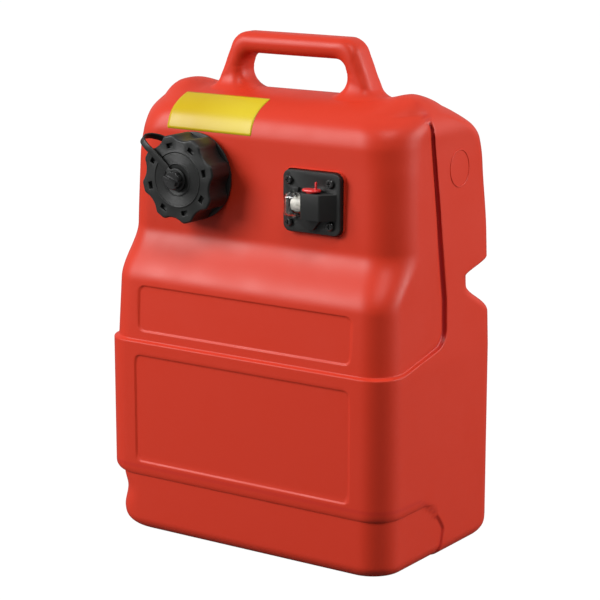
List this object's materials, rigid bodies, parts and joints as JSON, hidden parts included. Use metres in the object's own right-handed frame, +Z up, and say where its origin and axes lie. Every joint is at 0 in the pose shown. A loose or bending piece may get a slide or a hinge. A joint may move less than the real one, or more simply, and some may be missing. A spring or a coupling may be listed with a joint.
{
  "type": "portable outboard fuel tank",
  "caption": "Tall red moulded boat fuel tank with a carrying handle, lobed vented filler cap, and a plate with float gauge, outlet and pickup.",
  "frame": {"origin": "middle of the flat base that the tank stands on when it is carried", "axes": "+Z up to the handle, +Y to the back face that lies on the boat's floor in use, -Y the side with the cap and the gauge"},
  "size_m": [0.35, 0.2313, 0.5193],
  "materials": {
    "red_hdpe": "satin blow-moulded polyethylene",
    "black_plastic": "satin moulded plastic",
    "black_rubber": "matte nitrile rubber",
    "yellow_film": "bare film sticker",
    "clear_plastic": "clear moulded plastic",
    "white_plastic": "natural moulded plastic",
    "red_plug": "soft dust plug",
    "steel": "plain stainless",
    "brass": "plain turned brass"
  },
  "bodies": {
    "tank": {"tank_shell": "red_hdpe", "front_label": "yellow_film", "tether_neck_ring": "black_plastic", "outlet_body": "black_plastic", "flange_gasket": "black_rubber", "flange_screws": "steel", "thread_inserts": "brass", "lens_seal": "black_rubber", "gauge_lens": "clear_plastic", "gauge_bracket": "black_plastic", "pickup_tube": "white_plastic", "pickup_strainer": "white_plastic"},
    "cap_carrier": {"cap_gasket": "black_rubber", "tether_eye": "black_plastic", "tether_strap": "black_plastic"},
    "cap": {"cap_shell": "black_plastic", "cap_thread_liner": "black_plastic"},
    "vent_carrier": {"vent_seal": "black_rubber"},
    "vent": {"vent_screw": "black_plastic", "vent_retainer": "white_plastic"},
    "float_lever": {"float_arm": "steel", "gauge_pivot_pin": "steel", "gauge_drum": "white_plastic", "float": "black_rubber", "float_clip": "steel"},
    "plug": {"port_plug": "red_plug"}
  },
  "joints": [
    {"name": "cap_rise", "type": "slide", "parent": "tank", "child": "cap_carrier", "axis": [0, -1, 0], "range_m": [0, 0.0151]},
    {"name": "cap_turn", "type": "hinge", "parent": "cap_carrier", "child": "cap", "pos_m": [-0.0744, -0.095, 0.3785], "axis": [0, -1, 0], "range_deg": [0, 900]},
    {"name": "vent_rise", "type": "slide", "parent": "cap", "child": "vent_carrier", "axis": [0, -1, 0], "range_m": [0, 0.0026]},
    {"name": "vent_turn", "type": "hinge", "parent": "vent_carrier", "child": "vent", "pos_m": [-0.0744, -0.11, 0.3785], "axis": [0, -1, 0], "range_deg": [0, 720]},
    {"name": "float_swing", "type": "hinge", "parent": "tank", "child": "float_lever", "pos_m": [0.0619, -0.072, 0.362], "axis": [1, 0, 0], "range_deg": [0, 95]},
    {"name": "plug_pull", "type": "slide", "parent": "tank", "child": "plug", "axis": [0, 0, 1], "range_m": [0, 0.03]}
  ],
  "couplings": [
    {"joint": "cap_rise", "follows": "cap_turn", "m_per_rad": 0.00095493},
    {"joint": "vent_rise", "follows": "vent_turn", "m_per_rad": 0.00019894}
  ]
}
